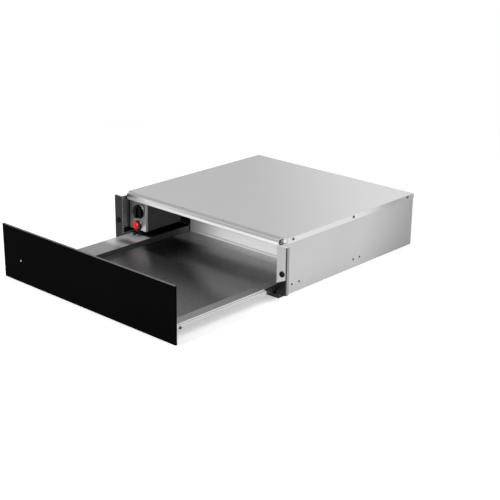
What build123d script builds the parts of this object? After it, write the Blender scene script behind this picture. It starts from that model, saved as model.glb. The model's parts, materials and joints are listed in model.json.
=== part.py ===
from build123d import *
import os

# A built-in warming drawer with its drawer pulled out. Millimetres, +X to the right seen from the front,
# +Y to the back, +Z up. It is drawn with y = 0 in the plane of the mounting flanges and z = 0 under the
# housing, and moved at the end so that the origin is the centre of the housing's underside.

# Housing
FLANGE_SPAN = 596.0  # over both mounting flanges
FLANGE_OVERHANG = 23.0  # of a flange beyond its side panel
HOUSING_DEPTH = 540.0  # from the flange plane to the back of the cover
HOUSING_HEIGHT = 141.0
SHEET = 0.8  # housing sheet
BEND = 1.2  # bend radius on the sheet's middle line
SLIP = 0.4  # gap between neighbouring sheets that don't touch
CUT = 1.0  # a cut runs this far past the faces that it opens
PANEL_RIM = 12.0  # flange folded in along the top of a side panel
BASE_RIM = 7.0  # edge folded up along the sides of the base
BASE_LIP = 10.0  # edge folded up along the front of the base

# Top cover and front rail
COVER_FRONT = 11.2  # front face of the cover behind the flange plane
COVER_LIP = 13.0  # depth of the folded lips
FRONT_LIP = 8.0
CORNER_NOTCH = 13.0  # the front lip stops this far inside the side panel
NOTCH_DEPTH = 30.0  # and the side lips start this far behind the flange plane
RAIL_DROP = 16.5  # lower edge of the rail below the top of the cover
RAIL_FLANGE = 38.0
RAIL_RETURN = 28.0
TAB_SIZE = 19.0  # corner tab of a side panel, square
TAB_SETBACK = 28.0

# Mounting flanges
POST_INSET = 7.0  # inner edge of a post inside the side panel's outer face
POST_FOOT = 2.0  # a post's inner part ends this far above the housing's underside
FLANGE_LIFT = 11.5  # and its outer part this far
FLANGE_DROP = 10.0  # top of a post below the top of the cover
FLANGE_RETURN = 10.0  # outer edge folded back
FLANGE_TOP_RETURN = 6.0
POST_RETURN = 24.0  # inner edge folded back, above the slide
POST_RETURN_LIFT = 46.0
FIXING_INSET = 12.0  # fixing hole inside the flange's outer edge
FIXING_HEIGHT = 64.0
FIXING_RADIUS = 2.75
BUFFER_RADIUS = 7.0
BUFFER_GAP = 0.35  # from the fixing hole's edge to the bore of the buffer on it
BUFFER_PROUD = 4.0
SLIDE_NOTCH = 1.0  # room round an inner slide member where it passes a post

# Glass front and what carries it
GLASS_INSET = 0.5  # side edge inside the flange's outer edge
GLASS_THICK = 5.0
GLASS_LIFT = 3.0  # lower edge above the housing's underside
GLASS_DROP = 2.0  # upper edge below the top of the cover
GLASS_EDGE = 0.5  # chamfer
DRAWER_OUT = 358.0  # glass face ahead of the flange plane
SHUT_GAP = 0.2  # from the glass to the buffers with the drawer shut
TAPE_THICK = 1.0
TAPE_WIDTH = 16.0
TAPE_INSET = 6.0  # inside the carrier's edges
CARRIER_SHEET = 1.2
CARRIER_SIDE_GAP = 10.0  # from the carrier to a post
CARRIER_RISE = 6.0  # lower edge above the glass's
CARRIER_DROP = 11.0  # upper edge below the glass's
CARRIER_RETURN = 8.0
WINDOW_OFFSET = 2.5  # window's middle outside the lit switch's axis
WINDOW_RADIUS = 2.4
LENS_HEAD = 5.0
LENS_GAP = 0.05
LENS_SETBACK = 0.2  # behind the glass face

# Tray
TRAY_SHEET = 1.0
TRAY_FLOOR = 15.0  # upper face of the floor
TRAY_RIM = 30.0  # upper face of the shelves
TRAY_STRIP = 12.0  # height of the strips folded down at the sides
SLIDE_SPACE = 12.2  # from a strip to the side panel beside it
SHELF_LEFT = 69.0  # width of the shelf under the controls
SHELF_RIGHT = 27.0
REAR_GAP = 17.6  # from the rear wall to the rear panel with the drawer shut
REAR_WALL_DROP = 29.5  # top of the rear wall below the rail
REAR_WALL_RETURN = 10.0
REAR_WALL_INSET = 3.0  # left end of the rear wall inside the tray's left wall
FRONT_ANGLE_TOP = 62.0
FRONT_ANGLE_FOOT = 14.0
ANGLE_INSET = 4.0  # ends of the angle and of the rear wall's foot inside the floor
ANGLE_SCREWS = 4
ANGLE_SCREW_INSET = 20.0

# Ball slides
SLIDE_MARGIN = 40.0  # the slides are this much shorter than the housing
SLIDE_SHEET = 1.2
SLIDE_BEND = 1.2
SLIDE_HEIGHT = 20.0
SLIDE_MIDDLE = 22.5  # height of the slides' middle
SLIDE_START = 4.0
SLIDE_MOUTH = 2.0  # from the tray's strip to the outer member's flanges
SLIDE_INNER_HEIGHT = 10.0
SLIDE_INNER_DEPTH = 6.0  # from the tray's strip to the inner member's outer face
SLIDE_INNER_SET = 12.0  # inner member's front end behind the glass face
DRAWER_SCREW_INSETS = (31.0, 42.0)  # its screws inside its front and rear ends
BALL_RADIUS = 1.6
BALL_HOLE_GAP = 0.2  # round a ball in its cage
BALL_OUT = 3.9  # from the tray's strip to the balls' middles
BALL_PITCH = 16.0
CAGE_SHEET = 0.8
CAGE_INSET = 7.0  # ends of the cage inside the members' overlap
CAGE_RIM = 2.1  # from the balls' middles to the cage's edges
CAGE_GAP = 0.6
RIVET_FRONT = (44.5, 71.0)  # rivets behind the outer member's front end
RIVET_MIDDLE = (33.0, 58.5)  # and behind its middle
RIVET_RADIUS = 2.6
RIVET_SHANK = 1.7
RIVET_BORE = 1.1

# Release levers inside the inner slide members
LEVER_SET = 222.0  # pivot behind the glass face
LEVER_LENGTH = 18.0  # from the pivot to the end of the bar
LEVER_THICK = 1.0
LEVER_BAR = 1.6
LEVER_TIP = 2.0
LEVER_DROP = 3.0  # the tip hangs this far below the member
LEVER_BOSS = 2.6
LEVER_PIVOT = 1.3
LEVER_GAP = 0.4  # from the tray's strip to the lever
LEVER_SLOT_GAPS = (0.8, 1.8)  # ahead of and behind the tip in its slot
PIN_GAP = 0.1  # between the lever and the pin's collar

# Control panel, control box and what they hold
PANEL_INSET = 13.0  # left edge of the control panel inside the side panel
PANEL_SHIFT = 9.0  # right edge of the control panel outside the tray's left wall
AXIS_INSET = 24.0  # knob's axis inside the panel's right edge
SWITCH_OFFSET = 3.5  # switch's axis outside the knob's
CONTROL_SETBACK = 20.0
CONTROL_GAP = 16.0  # from the tray's shelf to the control panel
CONTROL_SHEET = 1.0
CONTROL_DEPTH = 128.0
PANEL_FOLD = 8.0
KNOB_SHARE = 0.52  # share of the panel's free height that lies above the knob
SWITCH_SHARE = 0.02  # and below the switch
KNOB_SKIRT = 18.4
KNOB_CAP = 15.5
KNOB_SKIRT_THICK = 4.0
KNOB_DEPTH = 15.2
KNOB_GRIP = 6.0  # the grip bar stands this far out of the cap
KNOB_GAP = 0.8
KNOB_EDGE = 1.2
KNOB_BORE_START = 4.0  # the shaft ends this far behind the knob's front
GRIP_WIDTH = 9.0
GRIP_INSET = 1.0
POINTER_WIDTH = 1.6
POINTER_DEPTH = 0.6
POINTER_START = 4.0  # from the knob's axis
SHAFT_RADIUS = 3.0
SHAFT_FIT = 0.05
BUSH_RADIUS = 5.0
BUSH_PROUD = 2.5
PANEL_HOLE_GAP = 0.1  # round the bush and the switch
THERMOSTAT_SIZE = (36.0, 30.0, 34.0)
THERMOSTAT_EDGE = 3.0
BULB_RADIUS = 3.0
BULB_LENGTH = 60.0
CAPILLARY_RADIUS = 0.9
CAPILLARY_GAP = 0.6
ROCKER_RADIUS = 9.6
ROCKER_GAP = 0.7
ROCKER_PROUD = 12.5
ROCKER_TILT = 8.0
ROCKER_ROOT = 2.0  # the rocker ends this far behind its pivot
ROCKER_DOME = 16.3  # radius of its face
ROCKER_PIN = 1.2  # radius of its two pivot pins
ROCKER_PIN_HOLD = 1.2  # they reach this far into the bezel
SWITCH_WALL = 1.0
BEZEL_RADIUS = 12.3
BEZEL_THICK = 6.0
BEZEL_EDGE = 0.9
SWITCH_DEPTH = 24.0
SWITCH_BACK = 10.0  # solid rear part of the switch
TAG_PITCH = 6.0
TAG_SIZE = (0.8, 8.0, 6.0)

# Push latch under the control box
LATCH_WIDTH = 14.0
LATCH_HEIGHT = 12.0
LATCH_LENGTH = 64.0
LATCH_EDGE = 3.0
LATCH_WALL = 6.0  # rear wall behind the plunger's bore
LATCH_HEAD = 4.5
LATCH_HEAD_LENGTH = 5.0
LATCH_ROD = 3.0
LATCH_ROD_END = 14.0  # the plunger ends this far inside the body's rear end
LATCH_REACH = 15.4  # the head stands this far ahead of the body
LATCH_GAP = 0.3
LATCH_MEET = 0.6  # from the head to the striker with the drawer shut
STRIKER_RADIUS = 8.0
STRIKER_THICK = 1.0

# Air duct, fan and heater behind the control box
DUCT_GAP = 30.0  # from the control box to the duct
DUCT_SLOT = (5.0, 44.0)
DUCT_SLOT_PITCH = 12.0
OUTLET_SLOTS = 9
INLET_SLOTS = 5
FAN_SETBACK = 138.4  # fan's axis ahead of the rear panel
FAN_RADIUS = 24.0
FAN_WIDTH = 20.0
FAN_PLATE = 1.2
FAN_RING = 5.0
FAN_HUB = 5.0
FAN_HUB_END = 2.0  # the hub ends this far inside the front ring
FAN_BLADES = 20
BLADE_SIZE = (0.9, 4.4)
BLADE_INSET = 2.6
BLADE_TURN = 35.0
SCROLL_RADIUS = 30.0
SCROLL_WALL = 1.2
SCROLL_WIDTH = 30.0
MOTOR_RADIUS = 19.0
MOTOR_LENGTH = 24.0
MOTOR_EDGE = 3.0
MOTOR_WALL = 4.0
FAN_SHAFT = 2.0
FAN_SHAFT_GAP = 1.0  # round the shaft in the scroll, and behind it in the motor
HEATER_RADIUS = 3.2
HEATER_PITCH = 17.0
HEATER_BEND = 8.0
HEATER_LEAD = 28.0  # front bends behind the duct's front end
HEATER_SPAN = 84.0  # bracket ahead of the fan's axis
HEATER_STUB = 6.0  # the element's ends stand this far out of the bracket
HEATER_TURN = 10.0  # rear bends ahead of the bracket
BRACKET_ARM = 10.0
BRACKET_DROP = 4.0
BRACKET_GAP = 0.1
CUTOUT_RADIUS = 8.0
CUTOUT_NECK = 5.5
CUTOUT_STEPS = (8.0, 13.0, 20.0)  # tops of its body, neck and tags
CUTOUT_OUT = 20.0
CUTOUT_TAG = (4.0, 0.8)
CUTOUT_TAG_PITCH = 6.0

# Roof, insulation, terminals and cable entry
CEILING_GAP = 0.8
MAT_THICK = 11.0
MAT_MARGIN = 14.0
TERMINAL_SIZE = (34.0, 26.0, 18.0)
TERMINAL_SETBACK = 50.0
TERMINAL_PITCH = 10.6
TERMINAL_SCREW = (2.6, 5.0)  # radius and depth
TERMINAL_BORE = 2.2
GLAND_INSET = 46.0  # gland's axis inside the left side panel
GLAND_HEIGHT = 84.0
GLAND_BORE = 4.0
GLAND_RADIUS = 7.6
GLAND_HOLE_GAP = 0.1
GLAND_PROUD = 8.0
GLAND_NUT = 11.0
GLAND_NUT_THICK = 5.0
GLAND_TAIL = 9.0  # the gland ends this far inside the rear panel
VENT_SLOT = (42.0, 4.0)
VENT_PITCH = (58.8, 12.0)
VENT_COLUMNS = 4
VENT_ROWS = 3

# Screws
SCREW_HEAD = 3.5
SCREW_HEAD_THICK = 2.0
SCREW_HEAD_EDGE = 0.8
SCREW_SHANK = 1.9
SCREW_LENGTH = 8.0
SCREW_DRIVE = 1.2
SCREW_GAP = 0.1  # round a shank in its hole
SCREW_TIP = 3.0  # a screw ends this far past the last sheet
COVER_SCREW_INSETS = (48.5, 29.0)  # first screw from the flange plane, last one from the cover's back
COVER_SCREW_DROP = 4.5

HALF = FLANGE_SPAN / 2 - FLANGE_OVERHANG
INNER = HALF - SHEET
ROOF = HOUSING_HEIGHT - SHEET
BACK_FACE = HOUSING_DEPTH - SHEET
PANEL_END = BACK_FACE - SHEET
RAIL_BOTTOM = HOUSING_HEIGHT - RAIL_DROP
CEILING = RAIL_BOTTOM + CEILING_GAP
FLANGE_OUTER = FLANGE_SPAN / 2
FLANGE_INNER = HALF - POST_INSET
FLANGE_HEIGHT = HOUSING_HEIGHT - FLANGE_DROP
FIXING_PLACE = FLANGE_OUTER - FIXING_INSET
FRONT = -DRAWER_OUT
GLASS_TOP = HOUSING_HEIGHT - GLASS_DROP
GLASS_BACK = FRONT + GLASS_THICK
CARRIER_BOTTOM = GLASS_LIFT + CARRIER_RISE
CARRIER_TOP = GLASS_TOP - CARRIER_DROP
CARRIER_FRONT = GLASS_BACK + TAPE_THICK
CARRIER_BACK = CARRIER_FRONT + CARRIER_SHEET
CARRIER_SIDE = FLANGE_INNER - CARRIER_SIDE_GAP
TRAVEL = -GLASS_BACK - BUFFER_PROUD - SHUT_GAP
TRAY_SIDE = INNER - SLIDE_SPACE
TRAY_LEFT = TRAY_SIDE - SHELF_LEFT
TRAY_RIGHT = TRAY_SIDE - SHELF_RIGHT
TRAY_REACH = PANEL_END - REAR_GAP - TRAVEL
REAR_WALL_TOP = RAIL_BOTTOM - REAR_WALL_DROP
SLIDE_LENGTH = HOUSING_DEPTH - SLIDE_MARGIN
CONTROL_LEFT = HALF - PANEL_INSET
CONTROL_RIGHT = TRAY_LEFT + PANEL_SHIFT
CONTROL_AXIS = CONTROL_RIGHT + AXIS_INSET
CONTROL_BOTTOM = TRAY_RIM + CONTROL_GAP
PANEL_FREE = RAIL_BOTTOM - CONTROL_BOTTOM - 2 * (KNOB_SKIRT + BEZEL_RADIUS)
KNOB_HEIGHT = RAIL_BOTTOM - KNOB_SKIRT - KNOB_SHARE * PANEL_FREE
SWITCH_HEIGHT = CONTROL_BOTTOM + BEZEL_RADIUS + SWITCH_SHARE * PANEL_FREE
SWITCH_AXIS = CONTROL_AXIS + SWITCH_OFFSET
WINDOW_AXIS = SWITCH_AXIS + WINDOW_OFFSET
DUCT_START = CONTROL_SETBACK + CONTROL_DEPTH + DUCT_GAP
DUCT_FLOOR = CONTROL_BOTTOM + SHEET
FAN_PLACE = PANEL_END - FAN_SETBACK
FAN_HEIGHT = (DUCT_FLOOR + CEILING) / 2
HEATER_START = DUCT_START + HEATER_LEAD
HEATER_END = FAN_PLACE - HEATER_SPAN
GLAND_PLACE = HALF - GLAND_INSET
COVER_SCREW_LAST = HOUSING_DEPTH - COVER_SCREW_INSETS[1]
COVER_SCREW_PLACES = (COVER_SCREW_INSETS[0], (COVER_SCREW_INSETS[0] + COVER_SCREW_LAST) / 2, COVER_SCREW_LAST)
RIVET_PLACES = [SLIDE_START + y for y in RIVET_FRONT]
RIVET_PLACES += [SLIDE_START + SLIDE_LENGTH / 2 + y for y in RIVET_MIDDLE]
SIDES = (("left", -1), ("right", 1))

parts = {}


def block(x, y, z):
    """A box between two x values, two y values and two z values."""
    size = (x[1] - x[0], y[1] - y[0], z[1] - z[0])
    middle = ((x[0] + x[1]) / 2, (y[0] + y[1]) / 2, (z[0] + z[1]) / 2)
    return Pos(*middle) * Box(*size)


def rod_x(y, z, x, radius):
    """A cylinder along X between two x values."""
    return Pos((x[0] + x[1]) / 2, y, z) * Rot(0, 90, 0) * Cylinder(radius, x[1] - x[0])


def rod_y(x, z, y, radius):
    """A cylinder along Y between two y values."""
    return Pos(x, (y[0] + y[1]) / 2, z) * Rot(90, 0, 0) * Cylinder(radius, y[1] - y[0])


def rod_z(x, y, z, radius):
    """A cylinder along Z between two z values."""
    return Pos(x, y, (z[0] + z[1]) / 2) * Cylinder(radius, z[1] - z[0])


def around(middle, size):
    """The two values that lie half a size on either side of a middle."""
    return middle - size / 2, middle + size / 2


def past(limits):
    """Two values moved apart, for a cut that runs past the faces there."""
    return limits[0] - CUT, limits[1] + CUT


def folded_along_y(points, thickness, bend, y):
    """Sheet folded along (x, z) points on its middle line, between two y values."""
    profile = Plane.XZ * trace(FilletPolyline(*points, radius=bend), line_width=thickness)
    return Pos(0, y[0], 0) * extrude(profile, amount=y[0] - y[1])


def folded_along_x(points, thickness, bend, x):
    """Sheet folded along (y, z) points on its middle line, between two x values."""
    profile = Plane.YZ * trace(FilletPolyline(*points, radius=bend), line_width=thickness)
    return Pos(x[0], 0, 0) * extrude(profile, amount=x[1] - x[0])


def mirrored(shape, side):
    """The shape as drawn for the right side, or its mirror image for the left."""
    return shape if side > 0 else mirror(shape, about=Plane.YZ)


def group(shapes):
    """Separate solids kept together as one sub-part."""
    return Compound(children=list(shapes))


def save(name, shape):
    """Keeps a sub-part under its name, in the frame whose origin is the underside's centre."""
    parts[name] = Pos(0, -HOUSING_DEPTH / 2, 0) * shape


def screw(length=SCREW_LENGTH):
    """A pan-head screw along +Z, head under the plane z = 0 and shank above it."""
    head = rod_z(0, 0, (-SCREW_HEAD_THICK, 0), SCREW_HEAD)
    head = fillet(head.edges().group_by(Axis.Z)[0], SCREW_HEAD_EDGE)
    shank = rod_z(0, 0, (0, length), SCREW_SHANK)
    drive = Box(4 * SCREW_DRIVE, SCREW_DRIVE, SCREW_DRIVE) + Box(SCREW_DRIVE, 4 * SCREW_DRIVE, SCREW_DRIVE)
    return head + shank - Pos(0, 0, -SCREW_HEAD_THICK) * drive


# ---------------------------------------------------------------- housing shell


def base_pan():
    """Bottom sheet with its sides folded up under the slides and a lip folded up at the front."""
    edge = INNER - SHEET / 2
    points = [(-edge, BASE_RIM), (-edge, SHEET / 2), (edge, SHEET / 2), (edge, BASE_RIM)]
    pan = folded_along_y(points, SHEET, BEND, (SHEET, PANEL_END))
    reach = FLANGE_INNER - SLIP
    lip = block((-reach, reach), (0, SHEET), (0, BASE_LIP))
    return pan + lip + block((-reach, reach), (0, 2 * SHEET), (0, SHEET))


def side_panel():
    """Right side panel: top rim, corner tab behind the flange, and front edge folded out behind the post."""
    middle = HALF - SHEET / 2
    points = [(middle, 0), (middle, ROOF - SHEET / 2), (HALF - PANEL_RIM, ROOF - SHEET / 2)]
    panel = folded_along_y(points, SHEET, BEND, (SHEET, PANEL_END))
    panel -= block(past((HALF - PANEL_RIM, HALF)), (0, TAB_SETBACK), (FLANGE_HEIGHT, ROOF + CUT))
    panel += block((HALF - TAB_SIZE, INNER), (TAB_SETBACK, TAB_SETBACK + SHEET), (ROOF - TAB_SIZE, ROOF - BEND))
    edge = (INNER, FLANGE_OUTER - SHEET - SLIP)
    panel += block(edge, (SHEET, 2 * SHEET), (FLANGE_LIFT, FLANGE_HEIGHT - SHEET - SLIP))
    panel -= corner_screw_hole()
    panel -= fixing_hole()
    for y in COVER_SCREW_PLACES:
        panel -= rod_x(y, HOUSING_HEIGHT - COVER_SCREW_DROP, past((INNER, HALF)), SCREW_SHANK + SCREW_GAP)
    for y in RIVET_PLACES:
        panel -= rod_x(y, SLIDE_MIDDLE, past((INNER, HALF)), RIVET_SHANK)
    return panel


def corner_screw_hole():
    """The hole in the corner tab and the ceiling behind it."""
    x, z = corner_screw_place()
    return rod_y(x, z, past((TAB_SETBACK, TAB_SETBACK + 2 * SHEET)), SCREW_SHANK + SCREW_GAP)


def corner_screw_place():
    """Middle of the corner tab."""
    return HALF - TAB_SIZE / 2, ROOF - TAB_SIZE / 2


def fixing_hole():
    """The fixing hole through the post and the side panel's edge behind it."""
    return rod_y(FIXING_PLACE, FIXING_HEIGHT, past((0, 2 * SHEET)), FIXING_RADIUS)


def front_post():
    """Right mounting flange: face, folded-back outer, top and inner edges, notch for the slide."""
    post = block((FLANGE_INNER, FLANGE_OUTER), (0, SHEET), (POST_FOOT, FLANGE_HEIGHT))
    post += block((FLANGE_OUTER - SHEET, FLANGE_OUTER), (0, FLANGE_RETURN), (POST_FOOT, FLANGE_HEIGHT))
    top = (FLANGE_HEIGHT - SHEET, FLANGE_HEIGHT)
    post += block((FLANGE_INNER, FLANGE_OUTER), (0, FLANGE_TOP_RETURN), top)
    return_z = (POST_RETURN_LIFT, FLANGE_HEIGHT)
    post += block((FLANGE_INNER, FLANGE_INNER + SHEET), (0, POST_RETURN), return_z)
    post = fillet(front_edges(post), SHEET)
    post -= block((HALF, FLANGE_OUTER + CUT), past((0, FLANGE_RETURN)), (0, FLANGE_LIFT))
    passing = slide_inner_face() + SCREW_HEAD_THICK + SLIDE_NOTCH
    notch = around(SLIDE_MIDDLE, SLIDE_INNER_HEIGHT + 2 * SLIDE_NOTCH)
    post -= block((FLANGE_INNER - CUT, passing), past((0, SHEET)), notch)
    behind = (SHEET, POST_RETURN)
    post -= block((HALF - SHEET - SLIP, HALF + SLIP), behind, (POST_FOOT, FLANGE_HEIGHT + CUT))
    return post - fixing_hole()


def front_edges(shape):
    """The long outside edges of a front face."""
    return shape.edges().filter_by(Axis.Z).filter_by_position(Axis.Y, -SLIP, SLIP)


def top_cover():
    """Cover sheet with lips folded down at the sides, the rear and, between the notches, the front."""
    edge = HALF + SHEET / 2
    low = HOUSING_HEIGHT - COVER_LIP
    middle = HOUSING_HEIGHT - SHEET / 2
    points = [(-edge, low), (-edge, middle), (edge, middle), (edge, low)]
    cover = folded_along_y(points, SHEET, BEND, (NOTCH_DEPTH, HOUSING_DEPTH))
    reach = HALF - CORNER_NOTCH
    front = COVER_FRONT + SHEET / 2
    lip = [(front, HOUSING_HEIGHT - FRONT_LIP), (front, middle), (NOTCH_DEPTH + CUT, middle)]
    cover += folded_along_x(lip, SHEET, BEND, (-reach, reach))
    rear = (HOUSING_DEPTH - SHEET, HOUSING_DEPTH)
    cover += block((-HALF, HALF), rear, (low, middle))
    for _, side in SIDES:
        for y in COVER_SCREW_PLACES:
            wall = past((HALF, HALF + SHEET))
            hole = rod_x(y, HOUSING_HEIGHT - COVER_SCREW_DROP, wall, SCREW_SHANK + SCREW_GAP)
            cover -= mirrored(hole, side)
    return cover


def front_rail():
    """Rail under the cover's front edge: top flange, face and bottom return."""
    reach = HALF - CORNER_NOTCH
    face = COVER_FRONT + SHEET * 1.5
    points = [
        (face + RAIL_FLANGE, ROOF - SHEET / 2),
        (face, ROOF - SHEET / 2),
        (face, RAIL_BOTTOM + SHEET / 2),
        (face + RAIL_RETURN, RAIL_BOTTOM + SHEET / 2),
    ]
    rail = folded_along_x(points, SHEET, BEND, (-reach, reach))
    tab = block((HALF - TAB_SIZE - SLIP, HALF), (TAB_SETBACK - SLIP, HOUSING_DEPTH), (0, HOUSING_HEIGHT))
    for _, side in SIDES:
        rail -= mirrored(tab, side)
    return rail


def rear_panel():
    """Back sheet with vent slots and the hole for the cable gland."""
    y = (PANEL_END, BACK_FACE)
    panel = block((-HALF, HALF), y, (0, ROOF))
    panel = fillet(panel.edges().filter_by(Axis.Y).group_by(Axis.Z)[-1], BEND + SHEET)
    across, up = VENT_PITCH
    for column in range(VENT_COLUMNS):
        for row in range(VENT_ROWS):
            x = (column - (VENT_COLUMNS - 1) / 2) * across
            slot = Plane.XZ * SlotOverall(*VENT_SLOT)
            panel -= Pos(x, y[1] + CUT, CONTROL_BOTTOM + row * up) * extrude(slot, amount=SHEET + 2 * CUT)
    return panel - rod_y(-GLAND_PLACE, GLAND_HEIGHT, past(y), GLAND_RADIUS + GLAND_HOLE_GAP)


def inner_ceiling():
    """Roof of the warm space, under the insulation, its front edge folded up behind the corner tabs."""
    width = (-INNER + SLIP, INNER - SLIP)
    front = TAB_SETBACK + SHEET
    roof = block(width, (front, PANEL_END), (CEILING, CEILING + SHEET))
    roof += block(width, (front, front + SHEET), (CEILING, ROOF - 2 * SHEET))
    for _, side in SIDES:
        roof -= mirrored(corner_screw_hole(), side)
    return roof


def insulation_mat():
    """Fibre mat between the ceiling and the cover."""
    x = HALF - MAT_MARGIN
    low = CEILING + SHEET
    return block((-x, x), (NOTCH_DEPTH + MAT_MARGIN, PANEL_END - MAT_MARGIN), (low, low + MAT_THICK))


# ---------------------------------------------------------------- air duct, fan and heater


def duct_panel():
    """Angle that walls off the space behind the control box, with outlet and inlet grilles."""
    wall = (-CONTROL_RIGHT - SHEET, -CONTROL_RIGHT)
    duct = block(wall, (DUCT_START, PANEL_END), (CONTROL_BOTTOM, CEILING))
    duct += block((-INNER, wall[0]), (DUCT_START, PANEL_END), (CONTROL_BOTTOM, DUCT_FLOOR))
    width, height = DUCT_SLOT
    grilles = (
        ((HEATER_START + HEATER_END) / 2, OUTLET_SLOTS),
        (FAN_PLACE, INLET_SLOTS),
    )
    for middle, count in grilles:
        for i in range(count):
            y = middle + (i - (count - 1) / 2) * DUCT_SLOT_PITCH
            duct -= block(past(wall), around(y, width), around(FAN_HEIGHT, height))
    return duct


def scroll_x():
    """X limits of the fan scroll, against the duct wall."""
    right = -CONTROL_RIGHT - SHEET
    return right - SCROLL_WIDTH, right


def fan_scroll():
    """Open scroll round the impeller, with its back wall and an outlet towards the heater."""
    left, right = scroll_x()
    front = HEATER_END + SHEET
    top = FAN_HEIGHT + SCROLL_RADIUS
    scroll = rod_x(FAN_PLACE, FAN_HEIGHT, (left, right), SCROLL_RADIUS)
    scroll += block((left, right), (front, FAN_PLACE), (FAN_HEIGHT, top))
    open_x = (left + SCROLL_WALL, right + CUT)
    scroll -= rod_x(FAN_PLACE, FAN_HEIGHT, open_x, SCROLL_RADIUS - SCROLL_WALL)
    scroll -= block(open_x, (front - CUT, FAN_PLACE), (FAN_HEIGHT + SCROLL_WALL, top - SCROLL_WALL))
    return scroll - rod_x(FAN_PLACE, FAN_HEIGHT, past((left, left + SCROLL_WALL)), FAN_SHAFT + FAN_SHAFT_GAP)


def fan_motor():
    """Motor on the scroll's back wall, with a bore for the shaft."""
    left = scroll_x()[0]
    motor = rod_x(FAN_PLACE, FAN_HEIGHT, (left - MOTOR_LENGTH, left), MOTOR_RADIUS)
    motor = fillet(motor.edges().group_by(Axis.X)[0], MOTOR_EDGE)
    bore = (left - MOTOR_LENGTH + MOTOR_WALL, left + CUT)
    return motor - rod_x(FAN_PLACE, FAN_HEIGHT, bore, FAN_SHAFT + SHAFT_FIT)


def impeller_x():
    """X limits of the impeller, in the middle of its scroll."""
    return around(sum(scroll_x()) / 2, FAN_WIDTH)


def fan_shaft():
    """Motor shaft that carries the impeller."""
    start = scroll_x()[0] - MOTOR_LENGTH + MOTOR_WALL + FAN_SHAFT_GAP
    return rod_x(FAN_PLACE, FAN_HEIGHT, (start, impeller_x()[1]), FAN_SHAFT)


def fan_impeller():
    """Centrifugal impeller: hub, back plate, a ring of blades and a front ring."""
    left, right = impeller_x()
    wheel = rod_x(FAN_PLACE, FAN_HEIGHT, (left, left + FAN_PLATE), FAN_RADIUS)
    ring = (right - FAN_PLATE, right)
    wheel += rod_x(FAN_PLACE, FAN_HEIGHT, ring, FAN_RADIUS)
    wheel -= rod_x(FAN_PLACE, FAN_HEIGHT, past(ring), FAN_RADIUS - FAN_RING)
    wheel += rod_x(FAN_PLACE, FAN_HEIGHT, (left, right - FAN_HUB_END), FAN_HUB)
    middle = Pos((left + right) / 2, FAN_PLACE, FAN_HEIGHT)
    for i in range(FAN_BLADES):
        turn = Rot(360 * i / FAN_BLADES, 0, 0) * Pos(0, 0, FAN_RADIUS - BLADE_INSET) * Rot(BLADE_TURN, 0, 0)
        wheel += middle * turn * Box(FAN_WIDTH, *BLADE_SIZE)
    return wheel - rod_x(FAN_PLACE, FAN_HEIGHT, past((left, right)), FAN_SHAFT)


def heater_rows():
    """Heights of the heating element's four runs."""
    return [FAN_HEIGHT + (i - 1.5) * HEATER_PITCH for i in range(4)]


def heater_points():
    """Corners of the heating element in its plane, from its lower to its upper end."""
    rows = heater_rows()
    near, far = HEATER_START, HEATER_END + HEATER_STUB
    turn = HEATER_END - HEATER_TURN
    return [
        (far, rows[0]),
        (near, rows[0]),
        (near, rows[1]),
        (turn, rows[1]),
        (turn, rows[2]),
        (near, rows[2]),
        (near, rows[3]),
        (far, rows[3]),
    ]


def heater_x():
    """X of the heating element's plane, in the middle of the scroll's outlet."""
    return sum(scroll_x()) / 2


def heating_element():
    """Tubular element bent to and fro in the fan's outlet."""
    path = Plane.YZ * FilletPolyline(*heater_points(), radius=HEATER_BEND)
    start = heater_points()[0]
    section = Plane(origin=(0, start[0], start[1]), z_dir=(0, -1, 0)) * Circle(HEATER_RADIUS)
    return Pos(heater_x(), 0, 0) * sweep(section, path=path)


def heater_bracket():
    """Plate that holds both ends of the element, standing on the duct's floor."""
    left, right = scroll_x()
    y = (HEATER_END, HEATER_END + SHEET)
    foot = FAN_HEIGHT - BRACKET_DROP
    plate = block((left, right), y, (DUCT_FLOOR, foot))
    plate += block((left, right), y, (FAN_HEIGHT + SCROLL_RADIUS, CEILING))
    plate += block(around(heater_x(), BRACKET_ARM), y, (foot, CEILING))
    rows = heater_rows()
    for row in (rows[0], rows[-1]):
        plate -= rod_y(heater_x(), row, past(y), HEATER_RADIUS + BRACKET_GAP)
    return plate


def thermal_cutout():
    """Disc thermostat on the duct's floor, with two tags."""
    x = heater_x() - CUTOUT_OUT
    body, neck, tags = (DUCT_FLOOR + step for step in CUTOUT_STEPS)
    disc = rod_z(x, HEATER_START, (DUCT_FLOOR, body), CUTOUT_RADIUS)
    disc += rod_z(x, HEATER_START, (body, neck), CUTOUT_NECK)
    width, thick = CUTOUT_TAG
    for side in (-1, 1):
        y = HEATER_START + side * CUTOUT_TAG_PITCH / 2
        disc += block(around(x, width), around(y, thick), (neck, tags))
    return disc


def terminal_block():
    """Block of three screw terminals on the duct's floor."""
    width, depth, height = TERMINAL_SIZE
    y = PANEL_END - TERMINAL_SETBACK
    top = DUCT_FLOOR + height
    body = block(around(-GLAND_PLACE, width), around(y, depth), (DUCT_FLOOR, top))
    radius, deep = TERMINAL_SCREW
    for i in (-1, 0, 1):
        x = -GLAND_PLACE + i * TERMINAL_PITCH
        body -= rod_z(x, y, (top - deep, top + CUT), radius)
        body -= rod_y(x, DUCT_FLOOR + height / 3, past(around(y, depth)), TERMINAL_BORE)
    return body


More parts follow.
